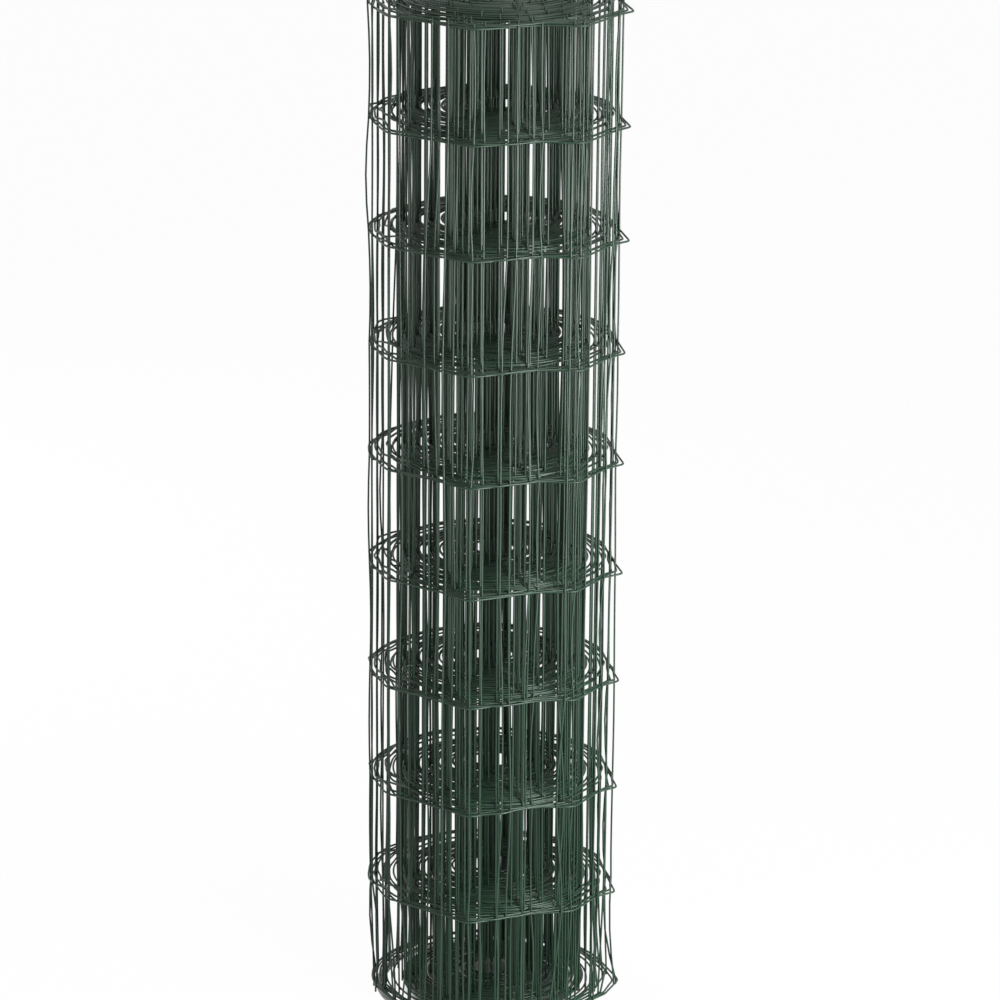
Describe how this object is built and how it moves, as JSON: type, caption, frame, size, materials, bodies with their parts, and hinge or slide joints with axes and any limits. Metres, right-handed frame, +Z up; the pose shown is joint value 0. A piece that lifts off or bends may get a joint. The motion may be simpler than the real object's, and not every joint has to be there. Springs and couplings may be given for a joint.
{
  "type": "roll of welded wire mesh fencing",
  "caption": "Tall roll of green plastic-coated welded wire mesh standing on end, wound round an open bore, with line wires as rings and cut stay ends at both ends.",
  "frame": {"origin": "on the roll's axis, in the plane of the lower end that it stands on", "axes": "+Z up along the roll's axis and its bore; -Y is the side that faces the viewer; +X to the viewer's right"},
  "size_m": [0.222, 0.222, 0.91],
  "materials": {
    "green_coated_wire": "semi-gloss moss-green PVC coat on galvanised steel wire"
  },
  "bodies": {
    "root": {"mesh_roll": "green_coated_wire"}
  },
  "joints": []
}
